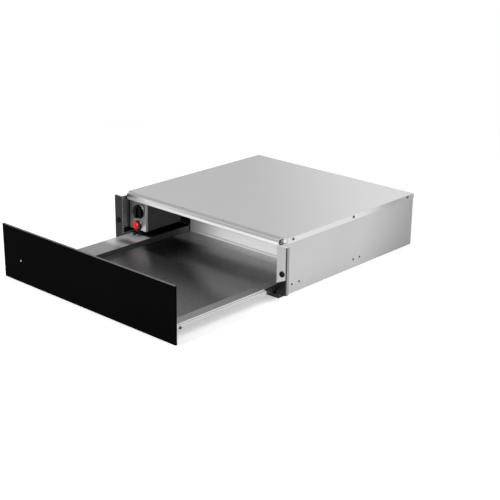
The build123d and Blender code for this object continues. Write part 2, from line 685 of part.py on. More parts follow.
def cable_gland():
    """Screwed cable entry through the rear panel, with a hexagonal head outside."""
    x, z = -GLAND_PLACE, GLAND_HEIGHT
    gland = rod_y(x, z, (PANEL_END - GLAND_TAIL, BACK_FACE + GLAND_PROUD), GLAND_RADIUS)
    head = Plane.XZ * RegularPolygon(GLAND_NUT, 6)
    gland += Pos(x, BACK_FACE + GLAND_PROUD, z) * extrude(head, amount=GLAND_PROUD)
    return gland - rod_y(x, z, past((PANEL_END - GLAND_TAIL, BACK_FACE + GLAND_PROUD)), GLAND_BORE)


def gland_nut():
    """Lock nut of the gland inside the rear panel."""
    x, z = -GLAND_PLACE, GLAND_HEIGHT
    nut = Plane.XZ * RegularPolygon(GLAND_NUT, 6)
    nut = Pos(x, PANEL_END, z) * extrude(nut, amount=GLAND_NUT_THICK)
    return nut - rod_y(x, z, past((PANEL_END - GLAND_NUT_THICK, PANEL_END)), GLAND_RADIUS)


# ---------------------------------------------------------------- controls


def control_panel():
    """Steel face with holes for the thermostat bush and the switch, its side edges folded back."""
    y = (CONTROL_SETBACK, CONTROL_SETBACK + CONTROL_SHEET)
    z = (CONTROL_BOTTOM, RAIL_BOTTOM)
    deep = (y[0], y[0] + PANEL_FOLD)
    panel = block((-CONTROL_LEFT, -CONTROL_RIGHT), y, z)
    panel += block((-CONTROL_RIGHT - CONTROL_SHEET, -CONTROL_RIGHT), deep, z)
    panel += block((-CONTROL_LEFT, -CONTROL_LEFT + CONTROL_SHEET), deep, z)
    edges = panel.edges().filter_by(Axis.Z).filter_by_position(Axis.Y, y[0] - SLIP, y[0] + SLIP)
    panel = fillet(edges, CONTROL_SHEET)
    panel -= rod_y(-CONTROL_AXIS, KNOB_HEIGHT, past(y), BUSH_RADIUS + PANEL_HOLE_GAP)
    return panel - rod_y(-SWITCH_AXIS, SWITCH_HEIGHT, past(y), switch_barrel() + PANEL_HOLE_GAP)


def control_box():
    """Sheet box behind the panel: right wall, floor and rear wall with its top edge folded forward."""
    y = (CONTROL_SETBACK + PANEL_FOLD, CONTROL_SETBACK + CONTROL_DEPTH)
    z = (CONTROL_BOTTOM, RAIL_BOTTOM)
    x = (-CONTROL_LEFT, -CONTROL_RIGHT)
    box = block((x[1] - SHEET, x[1]), y, z)
    box += block(x, y, (z[0], z[0] + SHEET))
    box += block(x, (y[1] - SHEET, y[1]), z)
    box += block(x, (y[1] - PANEL_RIM, y[1]), (z[1], CEILING))
    return box - rod_y(capillary_x(), KNOB_HEIGHT, past((y[1] - SHEET, y[1])), CAPILLARY_RADIUS + CAPILLARY_GAP)


def capillary_x():
    """X of the capillary tube where it leaves the thermostat."""
    return -CONTROL_AXIS - THERMOSTAT_SIZE[0] / 4


def thermostat_body():
    """Capillary thermostat: square body and the threaded bush that passes the panel."""
    width, depth, height = THERMOSTAT_SIZE
    x, z = -CONTROL_AXIS, KNOB_HEIGHT
    front = CONTROL_SETBACK + CONTROL_SHEET
    body = block(around(x, width), (front, front + depth), around(z, height))
    body = fillet(body.edges().filter_by(Axis.Y), THERMOSTAT_EDGE)
    body += rod_y(x, z, (CONTROL_SETBACK - BUSH_PROUD, front + CUT), BUSH_RADIUS)
    return body - rod_y(x, z, (0, front + depth / 2), SHAFT_RADIUS + SHAFT_FIT)


def thermostat_probe():
    """Capillary tube and sensing bulb, in the air behind the control box."""
    start = CONTROL_SETBACK + CONTROL_SHEET + THERMOSTAT_SIZE[1]
    tube = rod_y(capillary_x(), KNOB_HEIGHT, (start, DUCT_START + CUT), CAPILLARY_RADIUS)
    return tube + rod_y(capillary_x(), KNOB_HEIGHT, (DUCT_START, DUCT_START + BULB_LENGTH), BULB_RADIUS)


def thermostat_shaft():
    """Steel shaft from the thermostat into the knob."""
    end = CONTROL_SETBACK + CONTROL_SHEET + THERMOSTAT_SIZE[1] / 2 - CUT
    return rod_y(-CONTROL_AXIS, KNOB_HEIGHT, (knob_front() + KNOB_BORE_START, end), SHAFT_RADIUS)


def knob_front():
    """Y of the knob's front face."""
    return CONTROL_SETBACK - KNOB_GAP - KNOB_DEPTH


def thermostat_knob():
    """Round knob: skirt, cap and a grip bar across it with a pointer groove."""
    x, z = -CONTROL_AXIS, KNOB_HEIGHT
    front, back = knob_front(), CONTROL_SETBACK - KNOB_GAP
    skirt = rod_y(x, z, (back - KNOB_SKIRT_THICK, back), KNOB_SKIRT)
    skirt = chamfer(skirt.edges().group_by(Axis.Y)[0], KNOB_EDGE)
    cap = rod_y(x, z, (front + KNOB_GRIP, back - CUT), KNOB_CAP)
    cap = chamfer(cap.edges().group_by(Axis.Y)[0], KNOB_EDGE)
    grip = block(around(x, GRIP_WIDTH), (front, back - CUT), around(z, 2 * (KNOB_CAP - GRIP_INSET)))
    grip = chamfer(grip.edges().group_by(Axis.Y)[0], GRIP_INSET)
    groove = (z + POINTER_START, z + KNOB_CAP)
    knob = skirt + cap + grip - block(around(x, POINTER_WIDTH), (front - CUT, front + POINTER_DEPTH), groove)
    knob -= rod_y(x, z, (CONTROL_SETBACK - BUSH_PROUD - KNOB_GAP, back + CUT), BUSH_RADIUS + KNOB_GAP)
    return knob - rod_y(x, z, (front + KNOB_BORE_START, back + CUT), SHAFT_RADIUS)


def switch_bore():
    """Radius of the hole in which the rocker tilts."""
    return ROCKER_RADIUS + ROCKER_GAP


def switch_barrel():
    """Outer radius of the switch behind its bezel."""
    return switch_bore() + SWITCH_WALL


def rocker_pivot():
    """Y of the rocker's pivot, in the middle of the bezel's thickness."""
    return CONTROL_SETBACK - BEZEL_THICK / 2


def rocker_pin(spare):
    """The rocker's two pivot pins as one rod, or with some spare the space for them."""
    x = around(-SWITCH_AXIS, 2 * (switch_bore() + ROCKER_PIN_HOLD + spare))
    return rod_x(rocker_pivot(), SWITCH_HEIGHT, x, ROCKER_PIN + spare)


def switch_housing():
    """Switch body with its round bezel on the panel and three tags at the back."""
    x, z = -SWITCH_AXIS, SWITCH_HEIGHT
    front = CONTROL_SETBACK - BEZEL_THICK
    back = CONTROL_SETBACK + SWITCH_DEPTH
    bezel = rod_y(x, z, (front, CONTROL_SETBACK), BEZEL_RADIUS)
    bezel = fillet(bezel.edges().group_by(Axis.Y)[0], BEZEL_EDGE)
    body = bezel + rod_y(x, z, (CONTROL_SETBACK - CUT, back), switch_barrel())
    body -= rod_y(x, z, (front - CUT, back - SWITCH_BACK), switch_bore())
    body -= rocker_pin(SHAFT_FIT)
    thick, length, height = TAG_SIZE
    for i in (-1, 0, 1):
        body += block(around(x + i * TAG_PITCH, thick), (back - CUT, back + length), around(z, height))
    return body


def switch_rocker():
    """Lit rocker cap with a domed face and two pivot pins, resting on its upper half."""
    x, z = -SWITCH_AXIS, SWITCH_HEIGHT
    front = CONTROL_SETBACK - ROCKER_PROUD
    pivot = rocker_pivot()
    cap = rod_y(x, z, (front, pivot + ROCKER_ROOT), ROCKER_RADIUS)
    cap &= Pos(x, front + ROCKER_DOME, z) * Rot(90, 0, 0) * Sphere(ROCKER_DOME)
    cap += rocker_pin(0)
    return Pos(x, pivot, z) * Rot(-ROCKER_TILT, 0, 0) * Pos(-x, -pivot, -z) * cap


def latch_middle():
    """X and Z of the latch, hung under the control box."""
    return -CONTROL_AXIS, CONTROL_BOTTOM - LATCH_HEIGHT / 2


def latch_tip():
    """Y of the plunger's front end with the plunger caught."""
    return CARRIER_BACK + TRAVEL + STRIKER_THICK + LATCH_MEET


def latch_body():
    """Push latch: a box with a bore for its plunger."""
    x, z = latch_middle()
    front = latch_tip() + LATCH_REACH
    back = front + LATCH_LENGTH
    body = block(around(x, LATCH_WIDTH), (front, back), around(z, LATCH_HEIGHT))
    body = fillet(body.edges().filter_by(Axis.Y).group_by(Axis.Z)[0], LATCH_EDGE)
    return body - rod_y(x, z, (front - CUT, back - LATCH_WALL), LATCH_ROD + LATCH_GAP)


def latch_plunger():
    """Plunger with its round head, caught in its rear position."""
    x, z = latch_middle()
    tip = latch_tip()
    head = rod_y(x, z, (tip, tip + LATCH_HEAD_LENGTH), LATCH_HEAD)
    head = fillet(head.edges().group_by(Axis.Y)[0], BEZEL_EDGE)
    end = tip + LATCH_REACH + LATCH_LENGTH - LATCH_ROD_END
    return head + rod_y(x, z, (tip + LATCH_HEAD_LENGTH - CUT, end), LATCH_ROD)


# ---------------------------------------------------------------- slides


def slide_inner_face():
    """X of the inner member's outer face."""
    return TRAY_SIDE + SLIDE_INNER_DEPTH


def ball_x():
    """X of the balls' middles."""
    return TRAY_SIDE + BALL_OUT


def slide_outer():
    """Right outer member: a C channel on the side panel, open to the drawer."""
    half = SLIDE_SHEET / 2
    low, high = around(SLIDE_MIDDLE, SLIDE_HEIGHT - SLIDE_SHEET)
    mouth = TRAY_SIDE + SLIDE_MOUTH
    points = [(mouth, low), (INNER - half, low), (INNER - half, high), (mouth, high)]
    member = folded_along_y(points, SLIDE_SHEET, SLIDE_BEND, (SLIDE_START, SLIDE_START + SLIDE_LENGTH))
    for y in RIVET_PLACES:
        member -= rod_x(y, SLIDE_MIDDLE, past((INNER - SLIDE_SHEET, INNER)), RIVET_SHANK)
    return member


def slide_inner_y():
    """Y limits of the inner member."""
    return FRONT + SLIDE_INNER_SET, FRONT + SLIDE_INNER_SET + SLIDE_LENGTH


def slide_inner():
    """Right inner member: a smaller C channel, open to the tray's strip, with a slot for the lever."""
    half = SLIDE_SHEET / 2
    low, high = around(SLIDE_MIDDLE, SLIDE_INNER_HEIGHT - SLIDE_SHEET)
    web = slide_inner_face() - half
    points = [(TRAY_SIDE, low), (web, low), (web, high), (TRAY_SIDE, high)]
    member = folded_along_y(points, SLIDE_SHEET, SLIDE_BEND, slide_inner_y())
    ahead, behind = LEVER_SLOT_GAPS
    end = lever_pivot()[0] + LEVER_LENGTH
    slot = (TRAY_SIDE - CUT, lever_x()[1] + SLIP)
    member -= block(slot, (end - LEVER_TIP - ahead, end + behind), past((low - half, low + half)))
    for y in drawer_screw_places():
        member -= rod_x(y, SLIDE_MIDDLE, past((web - half, web + half)), SCREW_SHANK + SCREW_GAP)
    return member


def drawer_screw_places():
    """Y of the screws that hold an inner member to the tray."""
    front, rear = slide_inner_y()
    return front + DRAWER_SCREW_INSETS[0], rear - DRAWER_SCREW_INSETS[1]


def drawer_screws():
    """Two screws a side, through the inner member into the strip."""
    turned = Rot(0, -90, 0) * screw(length=SLIDE_INNER_DEPTH + TRAY_SHEET + SCREW_TIP)
    right = [Pos(slide_inner_face(), y, SLIDE_MIDDLE) * turned for y in drawer_screw_places()]
    return group(mirrored(shape, side) for _, side in SIDES for shape in right)


def cage_y():
    """Y limits of a ball cage, in the middle of the two members' overlap."""
    return SLIDE_START + CAGE_INSET, slide_inner_y()[1] - CAGE_INSET


def ball_rows():
    """Heights of the two rows of balls, half way between the members' flanges."""
    clear = (SLIDE_HEIGHT / 2 - SLIDE_SHEET + SLIDE_INNER_HEIGHT / 2) / 2
    return around(SLIDE_MIDDLE, 2 * clear)


def ball_places():
    """Y of each ball in a row, as many as the cage holds."""
    start, end = cage_y()
    count = int((end - start) / BALL_PITCH)
    return [(start + end) / 2 + (i - (count - 1) / 2) * BALL_PITCH for i in range(count)]


def ball_cage():
    """Right ball cage: a thin channel with a hole for each ball."""
    web = (INNER - SLIDE_SHEET - CAGE_GAP - CAGE_SHEET, INNER - SLIDE_SHEET - CAGE_GAP)
    low, high = ball_rows()
    cage = block(web, cage_y(), (low - CAGE_SHEET / 2, high + CAGE_SHEET / 2))
    for z in (low, high):
        cage += block((ball_x() - CAGE_RIM, web[1]), cage_y(), around(z, CAGE_SHEET))
        for y in ball_places():
            cage -= rod_z(ball_x(), y, past(around(z, CAGE_SHEET)), BALL_RADIUS + BALL_HOLE_GAP)
    return cage


def slide_balls():
    """Balls of the right slide."""
    return group(Pos(ball_x(), y, z) * Sphere(BALL_RADIUS) for z in ball_rows() for y in ball_places())


def lever_pivot():
    """Y and Z of a release lever's pivot."""
    return FRONT + LEVER_SET, SLIDE_MIDDLE


def lever_x():
    """X limits of the right release lever, between the strip and the inner member's web."""
    return TRAY_SIDE + LEVER_GAP, TRAY_SIDE + LEVER_GAP + LEVER_THICK


def release_lever():
    """Right release lever: a bar whose tip hangs through the inner member's lower flange."""
    y, z = lever_pivot()
    x = lever_x()
    end = y + LEVER_LENGTH
    lever = rod_x(y, z, x, LEVER_BOSS)
    lever += block(x, (y, end), around(z, LEVER_BAR))
    lever += block(x, (end - LEVER_TIP, end), (z - SLIDE_INNER_HEIGHT / 2 - LEVER_DROP, z))
    return lever - rod_x(y, z, past(x), LEVER_PIVOT + SHAFT_FIT)


def lever_pin():
    """Right pivot pin of the release lever, with its collar on the inner member's web."""
    y, z = lever_pivot()
    collar = lever_x()[1] + PIN_GAP
    pin = rod_x(y, z, (TRAY_SIDE + LEVER_GAP / 2, collar), LEVER_PIVOT)
    return pin + rod_x(y, z, (collar, slide_inner_face() - SLIDE_SHEET), LEVER_BOSS)


def slide_rivets():
    """Blind rivets that hold the outer members to the side panels."""
    rivets = []
    for y in RIVET_PLACES:
        rivet = rod_x(y, SLIDE_MIDDLE, (HALF, HALF + SHEET), RIVET_RADIUS)
        rivet += rod_x(y, SLIDE_MIDDLE, (INNER - SLIDE_SHEET, HALF), RIVET_SHANK)
        rivet -= rod_x(y, SLIDE_MIDDLE, (INNER, HALF + SHEET + CUT), RIVET_BORE)
        rivets.append(rivet)
    return group(mirrored(rivet, side) for _, side in SIDES for rivet in rivets)


# ---------------------------------------------------------------- drawer


def tray():
    """Tray sheet: strip, left shelf, left wall, floor, right wall, right shelf and strip."""
    half = TRAY_SHEET / 2
    side = TRAY_SIDE - half
    rim = TRAY_RIM - half
    floor = TRAY_FLOOR - half
    low = TRAY_RIM - TRAY_STRIP
    points = [
        (-side, low),
        (-side, rim),
        (-TRAY_LEFT - half, rim),
        (-TRAY_LEFT - half, floor),
        (TRAY_RIGHT + half, floor),
        (TRAY_RIGHT + half, rim),
        (side, rim),
        (side, low),
    ]
    sheet = folded_along_y(points, TRAY_SHEET, BEND, (CARRIER_BACK, TRAY_REACH))
    for _, side in SIDES:
        for y in drawer_screw_places():
            strip = past((TRAY_SIDE - TRAY_SHEET, TRAY_SIDE))
            sheet -= mirrored(rod_x(y, SLIDE_MIDDLE, strip, SCREW_SHANK + SCREW_GAP), side)
    return sheet


def tray_back():
    """Rear wall of the tray, its right end folded forward, with a foot under the floor."""
    left = -TRAY_LEFT + REAR_WALL_INSET
    right = TRAY_SIDE - SLIP
    y = (TRAY_REACH, TRAY_REACH + TRAY_SHEET)
    low = TRAY_FLOOR - TRAY_SHEET
    wall = block((left, right), y, (low, REAR_WALL_TOP))
    wall += block((right - TRAY_SHEET, right), (y[0] - REAR_WALL_RETURN, y[1]), (TRAY_RIM, REAR_WALL_TOP))
    foot = (left + ANGLE_INSET, TRAY_RIGHT - ANGLE_INSET)
    return wall + block(foot, (y[0] - FRONT_ANGLE_FOOT, y[1]), (low - TRAY_SHEET, low))


def tray_front():
    """Angle between the tray's floor and the carrier."""
    x = (-TRAY_LEFT + ANGLE_INSET, TRAY_RIGHT - ANGLE_INSET)
    y = (CARRIER_BACK, CARRIER_BACK + TRAY_SHEET)
    angle = block(x, y, (TRAY_FLOOR, FRONT_ANGLE_TOP))
    angle += block(x, (y[0], y[0] + FRONT_ANGLE_FOOT), (TRAY_FLOOR, TRAY_FLOOR + TRAY_SHEET))
    for place in angle_screw_places():
        angle -= rod_y(place, angle_screw_height(), past(y), SCREW_SHANK + SCREW_GAP)
    return angle


def angle_screw_places():
    """X of the screws that hold the carrier to the tray, evenly spaced."""
    start = -TRAY_LEFT + ANGLE_SCREW_INSET
    pitch = (TRAY_RIGHT - ANGLE_SCREW_INSET - start) / (ANGLE_SCREWS - 1)
    return [start + i * pitch for i in range(ANGLE_SCREWS)]


def angle_screw_height():
    """Z of those screws."""
    return (TRAY_FLOOR + FRONT_ANGLE_TOP) / 2


def front_carrier():
    """Steel plate behind the glass, its top and side edges folded back."""
    y = (CARRIER_FRONT, CARRIER_BACK)
    deep = (y[0], y[1] + CARRIER_RETURN)
    plate = block((-CARRIER_SIDE, CARRIER_SIDE), y, (CARRIER_BOTTOM, CARRIER_TOP))
    plate += block((-CARRIER_SIDE, CARRIER_SIDE), deep, (CARRIER_TOP - CARRIER_SHEET, CARRIER_TOP))
    fold = block((CARRIER_SIDE - CARRIER_SHEET, CARRIER_SIDE), deep, (TRAY_RIM + SLIP, CARRIER_TOP))
    for _, side in SIDES:
        plate += mirrored(fold, side)
    for place in angle_screw_places():
        plate -= rod_y(place, angle_screw_height(), past(y), SCREW_SHANK + SCREW_GAP)
    return plate - rod_y(-WINDOW_AXIS, SWITCH_HEIGHT, past(y), LENS_HEAD + LENS_GAP)


def carrier_screws():
    """Screws from the angle into the carrier."""
    back = CARRIER_BACK + TRAY_SHEET
    turned = Rot(90, 0, 0) * screw(length=TRAY_SHEET + CARRIER_SHEET)
    return group(Pos(x, back, angle_screw_height()) * turned for x in angle_screw_places())


def front_glass():
    """Black glass with a small clear window."""
    x = FLANGE_OUTER - GLASS_INSET
    y = (FRONT, GLASS_BACK)
    glass = block((-x, x), y, (GLASS_LIFT, GLASS_TOP))
    glass = chamfer(glass.edges().group_by(Axis.Y)[0], GLASS_EDGE)
    return glass - rod_y(-WINDOW_AXIS, SWITCH_HEIGHT, past(y), WINDOW_RADIUS + LENS_GAP)


def window_lens():
    """Light guide from the carrier into the window."""
    x, z = -WINDOW_AXIS, SWITCH_HEIGHT
    lens = rod_y(x, z, (FRONT + LENS_SETBACK, CARRIER_FRONT), WINDOW_RADIUS)
    return lens + rod_y(x, z, (GLASS_BACK, CARRIER_BACK), LENS_HEAD)


def glass_tape():
    """Two adhesive strips between the glass and the carrier."""
    x = CARRIER_SIDE - TAPE_INSET
    y = (GLASS_BACK, CARRIER_FRONT)
    low = CARRIER_BOTTOM + TAPE_INSET
    high = CARRIER_TOP - TAPE_INSET
    return group(block((-x, x), y, z) for z in ((low, low + TAPE_WIDTH), (high - TAPE_WIDTH, high)))


def latch_striker():
    """Steel disc on the carrier that the latch's head meets, cut off above the shelf."""
    x, z = latch_middle()
    y = (CARRIER_BACK, CARRIER_BACK + STRIKER_THICK)
    disc = rod_y(x, z, y, STRIKER_RADIUS)
    return disc - block(around(x, 2 * STRIKER_RADIUS), past(y), (0, TRAY_RIM + SLIP))


# ---------------------------------------------------------------- small fixings


def front_buffers():
    """Rubber rings round the fixing holes, on which the glass lands."""
    ring = rod_y(FIXING_PLACE, FIXING_HEIGHT, (-BUFFER_PROUD, 0), BUFFER_RADIUS)
    ring = fillet(ring.edges().group_by(Axis.Y)[0], BEND)
    ring -= rod_y(FIXING_PLACE, FIXING_HEIGHT, past((-BUFFER_PROUD, 0)), FIXING_RADIUS + BUFFER_GAP)
    return group(mirrored(ring, side) for _, side in SIDES)


def cover_screws():
    """Three screws in each side lip of the cover."""
    z = HOUSING_HEIGHT - COVER_SCREW_DROP
    right = [Pos(HALF + SHEET, y, z) * Rot(0, -90, 0) * screw() for y in COVER_SCREW_PLACES]
    return group(mirrored(shape, side) for _, side in SIDES for shape in right)


def corner_screws():
    """One screw in each corner tab."""
    x, z = corner_screw_place()
    turned = Pos(x, TAB_SETBACK, z) * Rot(-90, 0, 0) * screw()
    return group(mirrored(turned, side) for _, side in SIDES)


save("base_pan", base_pan())
save("top_cover", top_cover())
save("front_rail", front_rail())
save("rear_panel", rear_panel())
save("inner_ceiling", inner_ceiling())
save("insulation_mat", insulation_mat())
save("duct_panel", duct_panel())
save("fan_scroll", fan_scroll())
save("fan_motor", fan_motor())
save("fan_shaft", fan_shaft())
save("fan_impeller", fan_impeller())
save("heating_element", heating_element())
save("heater_bracket", heater_bracket())
save("thermal_cutout", thermal_cutout())
save("terminal_block", terminal_block())
save("cable_gland", cable_gland())
save("gland_nut", gland_nut())
save("control_panel", control_panel())
save("control_box", control_box())
save("thermostat_body", thermostat_body())
save("thermostat_probe", thermostat_probe())
save("thermostat_shaft", thermostat_shaft())
save("thermostat_knob", thermostat_knob())
save("switch_housing", switch_housing())
save("switch_rocker", switch_rocker())
save("latch_body", latch_body())
save("latch_plunger", latch_plunger())
save("latch_striker", latch_striker())
save("tray", tray())
save("tray_back", tray_back())
save("tray_front", tray_front())
save("front_carrier", front_carrier())
save("carrier_screws", carrier_screws())
save("front_glass", front_glass())
save("window_lens", window_lens())
save("glass_tape", glass_tape())
save("drawer_screws", drawer_screws())
save("front_buffers", front_buffers())
save("cover_screws", cover_screws())
save("corner_screws", corner_screws())
save("slide_rivets", slide_rivets())

for label, side in SIDES:
    save("side_panel_" + label, mirrored(side_panel(), side))
    save("front_post_" + label, mirrored(front_post(), side))
    save("slide_outer_" + label, mirrored(slide_outer(), side))
    save("slide_inner_" + label, mirrored(slide_inner(), side))
    save("ball_cage_" + label, mirrored(ball_cage(), side))
    save("slide_balls_" + label, mirrored(slide_balls(), side))
    save("release_lever_" + label, mirrored(release_lever(), side))
    save("lever_pin_" + label, mirrored(lever_pin(), side))

os.makedirs("parts", exist_ok=True)
for name, shape in parts.items():
    export_step(shape, "parts/" + name + ".step")
print(len(parts), "sub-parts, drawer travel", round(TRAVEL, 2))
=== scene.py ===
import json
import math

import bmesh
import bpy
from mathutils import Matrix, Vector


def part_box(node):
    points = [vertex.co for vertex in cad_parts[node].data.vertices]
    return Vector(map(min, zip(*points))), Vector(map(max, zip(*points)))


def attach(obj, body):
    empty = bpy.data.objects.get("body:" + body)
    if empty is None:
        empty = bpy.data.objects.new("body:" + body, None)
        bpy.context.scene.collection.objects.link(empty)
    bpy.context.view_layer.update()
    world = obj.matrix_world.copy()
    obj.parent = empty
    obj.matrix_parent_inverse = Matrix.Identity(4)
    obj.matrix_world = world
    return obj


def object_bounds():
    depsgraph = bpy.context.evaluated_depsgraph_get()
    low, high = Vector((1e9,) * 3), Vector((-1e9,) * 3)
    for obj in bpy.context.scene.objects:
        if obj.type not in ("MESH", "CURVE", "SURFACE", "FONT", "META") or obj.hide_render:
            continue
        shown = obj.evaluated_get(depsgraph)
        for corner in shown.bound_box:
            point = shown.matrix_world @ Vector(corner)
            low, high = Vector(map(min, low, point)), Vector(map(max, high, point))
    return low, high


# Looks of a built-in warming drawer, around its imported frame. Metres, +X right seen from the front,
# +Y back, +Z up, with the origin under the middle of the housing.

MM = 0.001
FLANGE_PLANE = -0.270  # y of the mounting flanges' front face
TRAY_FLOOR_RISE = 3 * MM  # tray's floor above the tray's lowest edge
TRAY_WELL_RIGHT = 235 * MM  # x where the floor meets the right shelf

RIGHT = (1, 0, 0)
LEFT = (-1, 0, 0)
BACK = (0, 1, 0)
FRONT = (0, -1, 0)
TOP = (0, 0, 1)
DOWN = (0, 0, -1)

# Camera, solved from the object's straight edges
AZIMUTH = math.radians(42.095)  # right of straight ahead
ELEVATION = math.radians(19.804)
ROLL = math.radians(0.721)
AIM_OFFSET = Vector((-0.136905, -0.048981, 2.879038))  # the flange plane's foot, seen from the camera
LENS = 82.86
SENSOR = 36.0
CAMERA_REACH = 20.0

# Lights: name, direction they come from, distance, width, height and power
LIGHTS = (
    ("key", (-0.05, -1.0, 0.42), 3.0, 1.0, 0.4, 58.0),
    ("top", (0.35, 0.30, 1.0), 2.6, 2.4, 2.0, 21.0),
    ("side", (1.0, -0.20, 0.30), 2.6, 1.4, 1.0, 11.0),
)
WORLD_LIGHT = 0.42

# Floor: it keeps its shadow within the near radius and is plain white beyond the far one
FLOOR_GLOW = 0.42
FLOOR_NEAR = 0.75
FLOOR_FAR = 1.6
FLOOR_SIZE = 6.0

# Tray pips: a square lattice, counted from a start beside the tray's middle
PIP_PITCH = 25 * MM
PIP_COLUMNS = range(-8, 9)
PIP_ROWS = range(-14, 8)
PIP_START_X = 12.5 * MM
PIP_START_Y = FLANGE_PLANE + 2.5 * MM
PIP_RADIUS = 1.3 * MM
PIP_HEIGHT = 0.45 * MM
PIP_MARGIN = 8 * MM
PIP_FRONT_MARGIN = 16 * MM

# Trim rings round the knob and the switch
RING_GAP = 0.2 * MM
RING_SLOPE = 1.4 * MM
RING_WIDTH = 1.7 * MM
RING_LIP = 0.25  # flat share of the width
# Painted highlight on the rings: the direction it lies towards, and where it starts and ends
RING_LIGHT = (0.6, 0, 0.8)
RING_LIT_START = 0.62  # of the inner radius
RING_LIT_END = 0.86

# Small rivets along the cover's front edge
COVER_RIVETS_X = (-68 * MM, 72.5 * MM)
COVER_RIVET_Y = FLANGE_PLANE + 25 * MM
COVER_RIVET_RADIUS = 1.9 * MM
COVER_RIVET_HEIGHT = 0.5 * MM

# Rubber membranes in the buffers' holes
PLUG_INSET = 7 * MM
PLUG_RADIUS = 2.9 * MM
PLUG_HEIGHT = 2.5 * MM

# Brushed grain: its scale along each axis, drawn out along one of them
ALONG_X = (5, 900, 900)
ALONG_Y = (900, 5, 900)
ALONG_Z = (900, 900, 5)
GRAIN_SHARE = 0.55  # of a sheet's change of tone; the rest is a slow cloudiness
CLOUD_SHARE = 0.45

# How far roughness and a moulded colour stray from their middle
STRAY_LOW = 0.85
STRAY_HIGH = 1.15


# ---------------------------------------------------------------- shader helpers


def new_material(name):
    """A material with only its own two nodes; returns it, its tree and its Principled shader."""
    material = bpy.data.materials.new(name)
    material.use_nodes = True
    tree = material.node_tree
    shader = next(n for n in tree.nodes if n.type == "BSDF_PRINCIPLED")
    return material, tree, shader


def grey(value, warmth=0.0):
    """A grey, a little warm or cold."""
    return (value * (1 + warmth), value, value * (1 - warmth))


def noise(tree, scale, detail=3.0, roughness=0.55):
    """Noise in object coordinates, with a scale along each axis: drawn out where it is small."""
    source = tree.nodes.new("ShaderNodeTexCoord")
    mapping = tree.nodes.new("ShaderNodeMapping")
    mapping.inputs["Scale"].default_value = scale
    tree.links.new(source.outputs["Object"], mapping.inputs["Vector"])
    texture = tree.nodes.new("ShaderNodeTexNoise")
    texture.inputs["Scale"].default_value = 1.0
    texture.inputs["Detail"].default_value = detail
    texture.inputs["Roughness"].default_value = roughness
    tree.links.new(mapping.outputs["Vector"], texture.inputs["Vector"])
    return texture.outputs["Fac"]


def ranged(tree, value, low, high, start=0.3, end=0.7, smooth=False):
    """A value that lies between start and end, spread between low and high."""
    spread = tree.nodes.new("ShaderNodeMapRange")
    if smooth:
        spread.interpolation_type = "SMOOTHSTEP"
    spread.inputs["From Min"].default_value = start
    spread.inputs["From Max"].default_value = end
    spread.inputs["To Min"].default_value = low
    spread.inputs["To Max"].default_value = high
    tree.links.new(value, spread.inputs["Value"])
    return spread.outputs["Result"]


def combined(tree, operation, first, second):
    """Two values put together by a math operation."""
    both = tree.nodes.new("ShaderNodeMath")
    both.operation = operation
    tree.links.new(first, both.inputs[0])
    tree.links.new(second, both.inputs[1])
    return both.outputs["Value"]


def shaded(tree, value, dark, light):
    """A colour between dark and light."""
    ramp = tree.nodes.new("ShaderNodeMix")
    ramp.data_type = "RGBA"
    ramp.inputs["A"].default_value = (*dark, 1)
    ramp.inputs["B"].default_value = (*light, 1)
    tree.links.new(value, ramp.inputs["Factor"])
    return ramp.outputs["Result"]


def bumped(tree, shader, value, strength, distance):
    """Gives the shader a bump from a value."""
    bump = tree.nodes.new("ShaderNodeBump")
    bump.inputs["Strength"].default_value = strength
    bump.inputs["Distance"].default_value = distance
    tree.links.new(value, bump.inputs["Height"])
    tree.links.new(bump.outputs["Normal"], shader.inputs["Normal"])


# ---------------------------------------------------------------- zones of a material


def along(tree, coordinate, direction):
    """How far a coordinate of the object reaches along a direction."""
    source = tree.nodes.new("ShaderNodeTexCoord")
    product = tree.nodes.new("ShaderNodeVectorMath")
    product.operation = "DOT_PRODUCT"
    product.inputs[1].default_value = direction
    tree.links.new(source.outputs[coordinate], product.inputs[0])
    return product.outputs["Value"]


def place(direction, start, end):
    """Mask that grows from 0 to 1 between two distances along a direction, given in millimetres."""

    def make(tree):
        reach = along(tree, "Object", direction)
        return ranged(tree, reach, 0.0, 1.0, start * MM, end * MM, smooth=True)

    return make


def facing(direction, start=0.5, end=0.8):
    """Mask of the faces that look along a direction."""

    def make(tree):
        return ranged(tree, along(tree, "Normal", direction), 0.0, 1.0, start, end)

    return make


def zone(tone, *masks):
    """A grey tone with the masks that say where a material takes it."""
    return tone, masks


def toned(tree, colour, tone, masks, warmth=0.0):
    """Turns a colour to a grey tone where all the masks hold."""
    share = masks[0](tree)
    for mask in masks[1:]:
        share = combined(tree, "MULTIPLY", share, mask(tree))
    mix = tree.nodes.new("ShaderNodeMix")
    mix.data_type = "RGBA"
    tree.links.new(share, mix.inputs["Factor"])
    tree.links.new(colour, mix.inputs["A"])
    mix.inputs["B"].default_value = (*grey(tone, warmth), 1)
    return mix.outputs["Result"]


# ---------------------------------------------------------------- kinds of material


